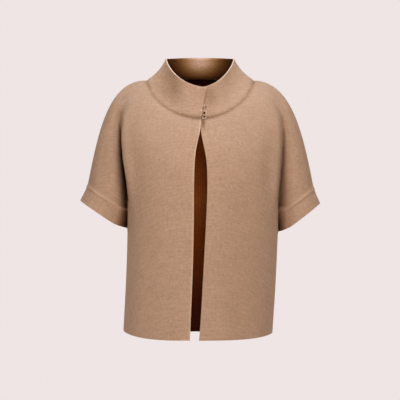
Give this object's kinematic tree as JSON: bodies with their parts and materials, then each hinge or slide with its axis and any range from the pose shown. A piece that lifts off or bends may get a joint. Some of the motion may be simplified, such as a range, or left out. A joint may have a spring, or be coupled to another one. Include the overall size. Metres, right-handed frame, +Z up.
{
  "type": "knitted cape",
  "caption": "Short knitted cape-jacket worn open, with wide elbow-length sleeves cut in one with the body, a lapped stand collar held by a hook and eye, and banded cuffs.",
  "frame": {"origin": "centre of the wearer's neck, at the height of the points where the collar meets the shoulders", "axes": "+Z up, +X to the wearer's left, +Y to the wearer's back; the front faces -Y"},
  "size_m": [0.5765, 0.2566, 0.677],
  "materials": {
    "knit": "matte, dense fulled fine knit with a short nap",
    "fastener": "satin, thread-covered in the cloth's colour"
  },
  "bodies": {
    "root": {"back": "knit", "right_front": "knit", "left_front": "knit", "collar": "knit", "right_cuff": "knit", "left_cuff": "knit", "eye": "fastener", "hook": "fastener"}
  },
  "joints": []
}
